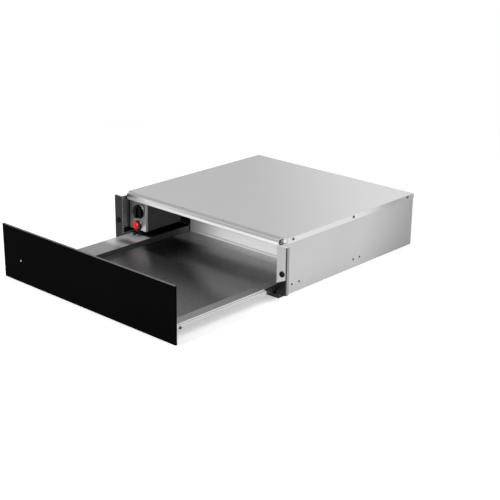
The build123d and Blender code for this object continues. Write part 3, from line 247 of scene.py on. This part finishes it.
def steel(name, tone, roughness, grain, warmth=0.0, spread=0.05, metal=1.0, zones=()):
    """Sheet steel: fine grain drawn out along one axis over a slow cloudiness.

    Its zones take other tones: painted light, shade and reflections. The later ones lie over the
    earlier ones.
    """
    material, tree, shader = new_material(name)
    lines = noise(tree, grain, detail=4.0, roughness=0.7)
    clouds = noise(tree, (7, 7, 7), detail=2.0)
    fine = ranged(tree, lines, 0.0, GRAIN_SHARE)
    slow = ranged(tree, clouds, 0.0, CLOUD_SHARE)
    change = combined(tree, "ADD", fine, slow)
    dark = grey(tone * (1 - spread), warmth)
    light = grey(tone * (1 + spread), warmth)
    colour = shaded(tree, change, dark, light)
    for zone_tone, masks in zones:
        colour = toned(tree, colour, zone_tone, masks, warmth)
    tree.links.new(colour, shader.inputs["Base Color"])
    shader.inputs["Metallic"].default_value = metal
    rough = ranged(tree, change, roughness * STRAY_LOW, roughness * STRAY_HIGH, 0.0, 1.0)
    tree.links.new(rough, shader.inputs["Roughness"])
    bumped(tree, shader, lines, strength=0.06, distance=0.2 * MM)
    return material


def plastic(name, colour, roughness, grain=900.0, bump=0.08, gloss=0.5):
    """Moulded plastic with a fine sparked grain."""
    material, tree, shader = new_material(name)
    texture = noise(tree, (grain, grain, grain), detail=2.0)
    dark = tuple(c * STRAY_LOW for c in colour)
    light = tuple(c * STRAY_HIGH for c in colour)
    tree.links.new(shaded(tree, texture, dark, light), shader.inputs["Base Color"])
    rough = ranged(tree, texture, roughness * STRAY_LOW, roughness * STRAY_HIGH)
    tree.links.new(rough, shader.inputs["Roughness"])
    shader.inputs["Specular IOR Level"].default_value = gloss
    bumped(tree, shader, texture, strength=bump, distance=0.1 * MM)
    return material


def glass_black():
    """Glass printed black on its back: deep and glossy, its top faces a little greyer, a painted
    highlight.
    """
    material, tree, shader = new_material("glass_black")
    haze = noise(tree, (6, 6, 6), detail=2.0)
    black = shaded(tree, haze, grey(0.0012), grey(0.0018))
    # painted highlight: the top faces turn grey
    painted_top_highlight = toned(tree, black, 0.16, (facing(TOP),))
    tree.links.new(painted_top_highlight, shader.inputs["Base Color"])
    tree.links.new(ranged(tree, haze, 0.03, 0.06), shader.inputs["Roughness"])
    shader.inputs["Specular IOR Level"].default_value = 0.004
    return material


def rocker_lit():
    """Translucent red plastic, lit from inside."""
    material, tree, shader = new_material("rocker_lit")
    spots = noise(tree, (420, 420, 420), detail=2.0)
    red = shaded(tree, spots, (0.42, 0.001, 0.001), (0.60, 0.006, 0.005))
    tree.links.new(red, shader.inputs["Base Color"])
    shader.inputs["Roughness"].default_value = 0.28
    shader.inputs["Specular IOR Level"].default_value = 0.2
    shader.inputs["Emission Color"].default_value = (1.0, 0.01, 0.006, 1)
    shader.inputs["Emission Strength"].default_value = 0.12
    return material


def fibre():
    """Mineral fibre."""
    material, tree, shader = new_material("fibre")
    texture = noise(tree, (300, 300, 90), detail=5.0)
    straw = shaded(tree, texture, (0.55, 0.52, 0.42), (0.82, 0.79, 0.68))
    tree.links.new(straw, shader.inputs["Base Color"])
    shader.inputs["Roughness"].default_value = 0.95
    bumped(tree, shader, texture, strength=0.5, distance=1 * MM)
    return material


def lens_clear():
    """Clear light guide."""
    material, tree, shader = new_material("lens_clear")
    texture = noise(tree, (500, 500, 500), detail=1.0)
    tree.links.new(shaded(tree, texture, grey(0.42), grey(0.52)), shader.inputs["Base Color"])
    shader.inputs["Roughness"].default_value = 0.15
    shader.inputs["Transmission Weight"].default_value = 0.4
    return material


# ---------------------------------------------------------------- materials by slot

RUBBER_BLACK = plastic("rubber_black", grey(0.004), 0.7, gloss=0.15)

MATERIALS = {
    "housing_steel": steel("housing_sheet", 0.60, 0.36, ALONG_Y, metal=0.5),
    "tray_steel": steel("tray_sheet", 0.50, 0.24, ALONG_Y),
    "carrier_steel": steel("carrier_sheet", 0.42, 0.4, ALONG_X),
    "box_steel": steel("box_sheet", 0.085, 0.45, ALONG_Y, metal=0.6),
    "slide_steel": steel("slide_zinc", 0.42, 0.34, ALONG_Y, metal=0.8),
    "cage_steel": steel("cage_zinc", 0.45, 0.35, ALONG_Y, warmth=0.12),
    "ball_steel": steel("ball_bright", 0.7, 0.08, ALONG_Y),
    "black_glass": glass_black(),
    "clear_lens": lens_clear(),
    "foam_tape": plastic("foam_tape", grey(0.03), 0.9, grain=500, bump=0.4),
    "rubber_black": RUBBER_BLACK,
    "knob_black": plastic("knob_black", grey(0.0025), 0.4, bump=0.03, gloss=0.1),
    "rocker_red": rocker_lit(),
    "plastic_black": plastic("plastic_black", (0.004, 0.004, 0.0045), 0.5, gloss=0.2),
    "thermostat_brown": plastic("phenolic_brown", (0.06, 0.03, 0.018), 0.4),
    "shaft_steel": steel("shaft_turned", 0.55, 0.18, ALONG_X),
    "probe_copper": steel("probe_copper", 0.5, 0.25, ALONG_Y, warmth=0.35),
    "heater_steel": steel("heater_stained", 0.16, 0.4, ALONG_Y, warmth=0.12, spread=0.25),
    "fan_aluminium": steel("fan_pressed", 0.6, 0.35, ALONG_X),
    "scroll_steel": steel("scroll_galvanised", 0.5, 0.4, ALONG_X),
    "motor_grey": plastic("motor_enamel", (0.03, 0.03, 0.033), 0.5, grain=400),
    "insulation_mat": fibre(),
    "terminal_white": plastic("terminal_moulded", (0.6, 0.58, 0.52), 0.4),
    "screw_steel": steel("screw_zinc", 0.12, 0.2, ALONG_X),
    "screw_black": plastic("screw_blackened", grey(0.012), 0.35),
}

# ---------------------------------------------------------------- materials by node

FRONT_FACES = facing(FRONT)
RIGHT_FACES = facing(RIGHT)
TOP_FACES = facing(TOP)

# Below this slanting line the right post and the side beside it take a painted dark reflection.
POST_FOOT = place((0.48, 0, -1), 90, 92)  # under the slanting edge of the right post's sheet
PANEL_SLANT = (1, 0, -1.85)  # from the control panel's upper left to its lower right
# A painted shadow on the slide and on the tray's strip starts here.
SLIDE_END = place(BACK, -308, -302)  # where the slide goes into the housing when the drawer is out

# Rear wall: lighter away from a painted shadow of the control box on its left, darker at its foot, with
# a dark seam line.
REAR_WALL_MIDDLE = place(RIGHT, -190, -50)
REAR_WALL_FOOT = place(DOWN, -22, -20.5)
REAR_WALL_SEAM = (place(TOP, 21.0, 21.6), place(DOWN, -22.8, -22.2))

# Painted reflections on the tray's floor: a dark band and a light streak.
FLOOR_BAND = place(FRONT, 165, 208)
FLOOR_STREAK = (place((0.667, 1, 0), -470, -422), place((-0.667, -1, 0), 384, 416))
SHELF_TOPS = (place(TOP, 27, 29), TOP_FACES)
LEFT_SHELF = place(LEFT, 190, 192)
LEFT_WALL = (RIGHT_FACES, place(LEFT, 150, 151))
RIGHT_STRIP = (RIGHT_FACES, place(RIGHT, 200, 201))

# Sheets with zones of other tones: painted light, shade and reflections. They stand in for the light
# and shade that fall on them and for the dark and light surroundings that smoother sheets would mirror
# when the drawer is out.
NODE_MATERIALS = {
    # Cover, painted light and shade: the top lighter towards the right and the back, a painted shade
    # line along the front bend, the side lips darker towards the back, the front lip dark at its left
    # end.
    "top_cover": steel("cover_sheet", 0.44, 0.38, ALONG_Y, metal=0.5, zones=(
        zone(0.66, place((0.7, 0.7, 0), -90, 330), TOP_FACES),
        zone(0.31, place(FRONT, 240, 243)),
        zone(0.66, RIGHT_FACES),
        zone(0.36, RIGHT_FACES, place(BACK, 30, 190)),
        zone(0.06, FRONT_FACES),
        zone(0.56, FRONT_FACES, place(RIGHT, -262, -185)),
    )),
    # Rail, painted shade: dark at its left end, lighter towards the middle and lightest to the right.
    "front_rail": steel("rail_sheet", 0.16, 0.36, ALONG_X, metal=0.3, zones=(
        zone(0.70, place(RIGHT, -290, -120)),
        zone(0.97, place(RIGHT, -120, 40)),
    )),
    # Right side, painted light and shade: darker towards the back and the bottom, a painted dark
    # reflection on its front foot under the post's slanting edge, painted light on the corner tab, and
    # painted shade on its outer face behind the notch under the post.
    "side_panel_right": steel("side_sheet", 0.49, 0.36, ALONG_Y, metal=0.5, zones=(
        zone(0.28, place((0, 1, -0.5), -20, 290)),
        zone(0.03, FRONT_FACES, POST_FOOT),
        zone(0.98, FRONT_FACES, place(TOP, 126, 131)),
        zone(0.01, RIGHT_FACES, place(FRONT, 244, 248), place(DOWN, -13, -11)),
    )),
    # Left side: its faces that look right, inside the housing, painted dark as shade.
    "side_panel_left": steel("left_side_sheet", 0.60, 0.36, ALONG_Y, metal=0.5, zones=(
        zone(0.02, RIGHT_FACES),
    )),
    # Left post: painted almost black as a reflection of dark surroundings, with a painted highlight
    # along its inner edge and a lighter painted reflection on its side that looks right.
    "front_post_left": steel("left_post_sheet", 0.020, 0.2, ALONG_Z, metal=0.8, zones=(
        zone(0.16, place(RIGHT, -270, -268.6), FRONT_FACES),
        zone(0.42, RIGHT_FACES),
    )),
    # Right post, painted reflections and shade: its foot under the slanting edge dark, a dark line
    # along its outer edge, its side darker, and darker still at its front edge.
    "front_post_right": steel("right_post_sheet", 0.70, 0.3, ALONG_Z, metal=0.5, zones=(
        zone(0.008, POST_FOOT, FRONT_FACES),
        zone(0.03, place(RIGHT, 295.2, 295.8), FRONT_FACES),
        zone(0.26, RIGHT_FACES),
        zone(0.02, RIGHT_FACES, place(FRONT, 267.4, 268.4)),
    )),
    # Base: its front lip and the front of its floor painted dark as shade under the drawer.
    "base_pan": steel("base_sheet", 0.55, 0.38, ALONG_X, metal=0.5, zones=(
        zone(0.02, FRONT_FACES),
        zone(0.03, TOP_FACES, place(FRONT, 180, 230)),
    )),
    # Control panel, painted reflection: dark at the upper left and light towards the lower right, with
    # a painted highlight on its right fold.
    "control_panel": steel("control_graded", 0.085, 0.3, ALONG_Z, metal=0.6, zones=(
        zone(0.16, place(PANEL_SLANT, -420, -370), FRONT_FACES),
        zone(0.70, place(PANEL_SLANT, -340, -300), FRONT_FACES),
        zone(0.60, place(RIGHT, -203, -202.4)),
    )),
    # Rear wall: a painted shadow of the control box on its left part, a little darker below the seam at
    # its foot, and a dark seam line.
    "tray_back": steel("rear_wall_sheet", 0.28, 0.34, ALONG_Z, metal=0.3, zones=(
        zone(0.98, REAR_WALL_MIDDLE),
        zone(0.74, REAR_WALL_FOOT, place(RIGHT, -190, 0)),
        zone(0.26, *REAR_WALL_SEAM, FRONT_FACES),
    )),
    "tray": steel("tray_graded", 0.22, 0.36, ALONG_Y, metal=0.5, zones=(
        # floor, from its rear end to its front: painted reflections, light by the rear wall, then dark
        # bands, light patches and a light streak
        zone(0.42, place(BACK, -140, -104), place(RIGHT, -140, 60)),
        zone(0.075, FLOOR_BAND),
        zone(0.13, FLOOR_BAND, place(RIGHT, 40, 200)),
        zone(0.008, place(FRONT, 145, 178), place(LEFT, 20, 120)),
        zone(0.045, place(FRONT, 280, 300)),
        zone(0.22, place(FRONT, 240, 285), place((1, 1.5, 0), -470, -365)),
        zone(0.20, *FLOOR_STREAK, place(LEFT, 10, 150)),
        zone(0.09, place(FRONT, 335, 420)),
        # shelves: painted reflections, with light and dark patches on the left one from its front end
        # to its rear, then painted shade under the control box
        zone(0.22, *SHELF_TOPS),
        zone(0.52, *SHELF_TOPS, place(BACK, -356, -328), LEFT_SHELF),
        zone(0.17, *SHELF_TOPS, place(BACK, -326, -308), place(RIGHT, -250, -222)),
        zone(0.75, *SHELF_TOPS, place(BACK, -304, -280), LEFT_SHELF),
        zone(0.01, TOP_FACES, place(BACK, -244, -240), LEFT_SHELF),
        # low left wall painted dark as a reflection, then the strip folded down on the right, lightened
        # as painted light, with a painted shadow where the slide goes into the housing
        zone(0.07, *LEFT_WALL),
        zone(0.24, *LEFT_WALL, place(BACK, -165, -95)),
        zone(0.75, *RIGHT_STRIP),
        zone(0.02, *RIGHT_STRIP, SLIDE_END),
    )),
    # Right slide: a painted shadow on its part that goes into the housing when the drawer is out.
    "slide_inner_right": steel("right_slide_zinc", 0.53, 0.36, ALONG_Y, metal=0.5, zones=(
        zone(0.02, SLIDE_END),
    )),
    # Corner screws lighter than the other screws: painted light on them in their dark recess.
    "corner_screws": steel("corner_screw_painted_light", 0.80, 0.3, ALONG_X, metal=0.3),
}


def dress_nodes(frame):
    """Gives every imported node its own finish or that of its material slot."""
    slot_of = {part["node"]: part["material_slot"] for part in frame["record"]["subparts"]}
    for name, node in frame["nodes"].items():
        node.data.materials.clear()
        node.data.materials.append(NODE_MATERIALS.get(name) or MATERIALS[slot_of[name]])
        for face in node.data.polygons:
            face.material_index = 0


# ---------------------------------------------------------------- pieces

UP_AXES = ((1, 0, 0), (0, 1, 0), (0, 0, 1))
FRONT_AXES = ((1, 0, 0), (0, 0, 1), (0, -1, 0))


def add_piece(name, shape, material, body):
    """Links a bmesh as a piece that rides on a body."""
    mesh = bpy.data.meshes.new(name)
    shape.to_mesh(mesh)
    shape.free()
    piece = bpy.data.objects.new(name, mesh)
    bpy.context.scene.collection.objects.link(piece)
    mesh.materials.append(material)
    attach(piece, body)


def lathe(shape, profile, foot, axes, steps):
    """Turns (radius, height) points round an axis that rises from a foot; radius 0 closes an end."""
    side, other, rise = (Vector(a) for a in axes)
    rings = []
    for radius, height in profile:
        centre = foot + rise * height
        if radius == 0:
            rings.append([shape.verts.new(centre)])
            continue
        ring = []
        for i in range(steps):
            turn = 2 * math.pi * i / steps
            outward = side * math.cos(turn) + other * math.sin(turn)
            ring.append(shape.verts.new(centre + outward * radius))
        rings.append(ring)
    for low, high in zip(rings, rings[1:]):
        for i in range(steps):
            j = (i + 1) % steps
            corners = [low[i % len(low)], low[j % len(low)], high[j % len(high)], high[i % len(high)]]
            face = shape.faces.new(list(dict.fromkeys(corners)))
            face.smooth = True


def dome(radius, height, rings=3):
    """Profile of a low dome, from its rim to its top."""
    points = []
    for i in range(rings):
        turn = math.pi / 2 * i / rings
        points.append((radius * math.cos(turn), height * math.sin(turn)))
    return points + [(0, height)]


def add_tray_pips():
    """Small raised pips in a square lattice on the tray's floor."""
    low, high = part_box("tray")
    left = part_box("control_panel")[1].x + PIP_MARGIN
    right = TRAY_WELL_RIGHT - PIP_MARGIN
    pip = dome(PIP_RADIUS, PIP_HEIGHT)
    shape = bmesh.new()
    for i in PIP_COLUMNS:
        x = PIP_START_X + i * PIP_PITCH
        if not left < x < right:
            continue
        for j in PIP_ROWS:
            y = PIP_START_Y + j * PIP_PITCH
            if low.y + PIP_FRONT_MARGIN < y < high.y - PIP_MARGIN:
                lathe(shape, pip, Vector((x, y, low.z + TRAY_FLOOR_RISE)), UP_AXES, steps=10)
    add_piece("tray_pips", shape, steel("pip_steel", 0.10, 0.16, ALONG_Y), "drawer")


def add_trim_ring(name, inner, centre):
    """A sloped ring on the control panel, with a painted highlight on its upper right."""
    shape = bmesh.new()
    profile = [
        (inner, 0),
        (inner, RING_SLOPE),
        (inner + RING_WIDTH * RING_LIP, RING_SLOPE),
        (inner + RING_WIDTH, 0),
    ]
    lathe(shape, profile, centre, FRONT_AXES, steps=64)
    middle = centre.dot(Vector(RING_LIGHT)) / MM
    radius = inner / MM
    lit = place(RING_LIGHT, middle + RING_LIT_START * radius, middle + RING_LIT_END * radius)
    # painted highlight on the upper right of the ring
    material = steel(name + "_steel", 0.10, 0.3, ALONG_Z, metal=0.7, zones=(zone(0.12, lit),))
    add_piece(name, shape, material, "housing")


def add_control_trim():
    """Trim rings round the knob and the switch bezel."""
    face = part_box("control_panel")[0].y
    for name, node in (("knob_ring", "thermostat_knob"), ("switch_ring", "switch_housing")):
        low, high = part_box(node)
        centre = Vector(((low.x + high.x) / 2, face, (low.z + high.z) / 2))
        add_trim_ring(name, (high.x - low.x) / 2 + RING_GAP, centre)


def add_cover_rivets():
    """Small rivets that hold the cover to the front rail."""
    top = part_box("top_cover")[1].z
    head = dome(COVER_RIVET_RADIUS, COVER_RIVET_HEIGHT)
    shape = bmesh.new()
    for x in COVER_RIVETS_X:
        lathe(shape, head, Vector((x, COVER_RIVET_Y, top)), UP_AXES, steps=14)
    add_piece("cover_rivets", shape, RUBBER_BLACK, "housing")


def add_buffer_plugs():
    """Rubber membranes that close the fixing holes until a screw goes through them."""
    low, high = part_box("front_buffers")
    middle = (low.z + high.z) / 2
    plug = dome(PLUG_RADIUS, PLUG_HEIGHT)
    shape = bmesh.new()
    for x in (low.x + PLUG_INSET, high.x - PLUG_INSET):
        lathe(shape, plug, Vector((x, FLANGE_PLANE, middle)), FRONT_AXES, steps=24)
    add_piece("buffer_plugs", shape, RUBBER_BLACK, "housing")


# ---------------------------------------------------------------- camera, light and floor


def add_camera():
    """The photograph's viewpoint."""
    back = Vector((
        math.sin(AZIMUTH) * math.cos(ELEVATION),
        -math.cos(AZIMUTH) * math.cos(ELEVATION),
        math.sin(ELEVATION),
    ))
    level = (-back).cross(Vector(TOP)).normalized()
    upright = level.cross(-back)
    right = level * math.cos(ROLL) + upright * math.sin(ROLL)
    up = upright * math.cos(ROLL) - level * math.sin(ROLL)
    spot = -(right * AIM_OFFSET.x + up * AIM_OFFSET.y - back * AIM_OFFSET.z)
    spot.y += FLANGE_PLANE
    turned = Matrix((right, up, back)).transposed().to_4x4()
    data = bpy.data.cameras.new("camera")
    data.sensor_fit = "HORIZONTAL"
    data.sensor_width = SENSOR
    data.lens = LENS
    data.clip_end = CAMERA_REACH
    camera = bpy.data.objects.new("camera", data)
    camera.matrix_world = Matrix.Translation(spot) @ turned
    bpy.context.scene.collection.objects.link(camera)
    bpy.context.scene.camera = camera


def add_lights():
    """Soft boxes that face the object."""
    for name, direction, distance, width, height, power in LIGHTS:
        data = bpy.data.lights.new(name, "AREA")
        data.shape = "RECTANGLE"
        data.size = width
        data.size_y = height
        data.energy = power
        light = bpy.data.objects.new(name, data)
        toward = Vector(direction).normalized()
        light.location = toward * distance
        light.rotation_euler = toward.to_track_quat("Z", "Y").to_euler()
        bpy.context.scene.collection.objects.link(light)


def background_mix(tree, lit, shown):
    """Mixes two shaders: the one shown is what the camera sees, directly, mirrored or through glass."""
    path = tree.nodes.new("ShaderNodeLightPath")
    seen = path.outputs["Is Camera Ray"]
    for output in ("Is Glossy Ray", "Is Transmission Ray"):
        seen = combined(tree, "MAXIMUM", seen, path.outputs[output])
    mix = tree.nodes.new("ShaderNodeMixShader")
    tree.links.new(seen, mix.inputs["Fac"])
    tree.links.new(lit, mix.inputs[1])
    tree.links.new(shown, mix.inputs[2])
    return mix.outputs["Shader"]


def set_world():
    """Even pale surroundings; plain white where the camera sees them."""
    world = bpy.data.worlds.new("studio")
    world.use_nodes = True
    tree = world.node_tree
    output = next(n for n in tree.nodes if n.type == "OUTPUT_WORLD")
    lit = next(n for n in tree.nodes if n.type == "BACKGROUND")
    lit.inputs["Color"].default_value = (1, 1, 1, 1)
    lit.inputs["Strength"].default_value = WORLD_LIGHT
    shown = tree.nodes.new("ShaderNodeBackground")
    shown.inputs["Color"].default_value = (1, 1, 1, 1)
    shown.inputs["Strength"].default_value = 1.0
    mixed = background_mix(tree, lit.outputs["Background"], shown.outputs["Background"])
    tree.links.new(mixed, output.inputs["Surface"])
    bpy.context.scene.world = world


def floor_material():
    """Pale ground that keeps a soft shadow and fades into the white surroundings."""
    material, tree, shader = new_material("floor")
    output = next(n for n in tree.nodes if n.type == "OUTPUT_MATERIAL")
    texture = noise(tree, (2, 2, 2), detail=1.0)
    tree.links.new(shaded(tree, texture, grey(0.80), grey(0.82)), shader.inputs["Base Color"])
    shader.inputs["Roughness"].default_value = 0.9
    shader.inputs["Specular IOR Level"].default_value = 0.0
    shader.inputs["Emission Color"].default_value = (1, 1, 1, 1)
    shader.inputs["Emission Strength"].default_value = FLOOR_GLOW
    white = tree.nodes.new("ShaderNodeEmission")
    white.inputs["Color"].default_value = (1, 1, 1, 1)
    source = tree.nodes.new("ShaderNodeTexCoord")
    reach = tree.nodes.new("ShaderNodeVectorMath")
    reach.operation = "LENGTH"
    tree.links.new(source.outputs["Object"], reach.inputs[0])
    share = ranged(tree, reach.outputs["Value"], 0.0, 1.0, FLOOR_NEAR, FLOOR_FAR)
    fade = tree.nodes.new("ShaderNodeMixShader")
    tree.links.new(share, fade.inputs["Fac"])
    tree.links.new(shader.outputs["BSDF"], fade.inputs[1])
    tree.links.new(white.outputs["Emission"], fade.inputs[2])
    mixed = background_mix(tree, shader.outputs["BSDF"], fade.outputs["Shader"])
    tree.links.new(mixed, output.inputs["Surface"])
    return material


def add_floor():
    """Flat floor under the object."""
    shape = bmesh.new()
    bmesh.ops.create_grid(shape, x_segments=1, y_segments=1, size=FLOOR_SIZE)
    mesh = bpy.data.meshes.new("floor")
    shape.to_mesh(mesh)
    shape.free()
    mesh.materials.append(floor_material())
    floor = bpy.data.objects.new("floor", mesh)
    floor.location.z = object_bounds()[0][2]
    bpy.context.scene.collection.objects.link(floor)


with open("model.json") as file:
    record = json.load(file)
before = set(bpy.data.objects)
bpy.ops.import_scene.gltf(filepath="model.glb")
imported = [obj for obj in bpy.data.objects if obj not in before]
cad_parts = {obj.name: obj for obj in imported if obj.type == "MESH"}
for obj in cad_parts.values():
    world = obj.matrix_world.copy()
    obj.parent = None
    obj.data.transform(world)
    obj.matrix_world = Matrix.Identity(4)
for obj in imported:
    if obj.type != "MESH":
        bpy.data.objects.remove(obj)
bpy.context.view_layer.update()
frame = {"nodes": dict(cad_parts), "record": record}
bpy.context.scene.view_settings.view_transform = "Standard"
dress_nodes(frame)
add_tray_pips()
add_control_trim()
add_cover_rivets()
add_buffer_plugs()
add_camera()
add_lights()
set_world()
add_floor()
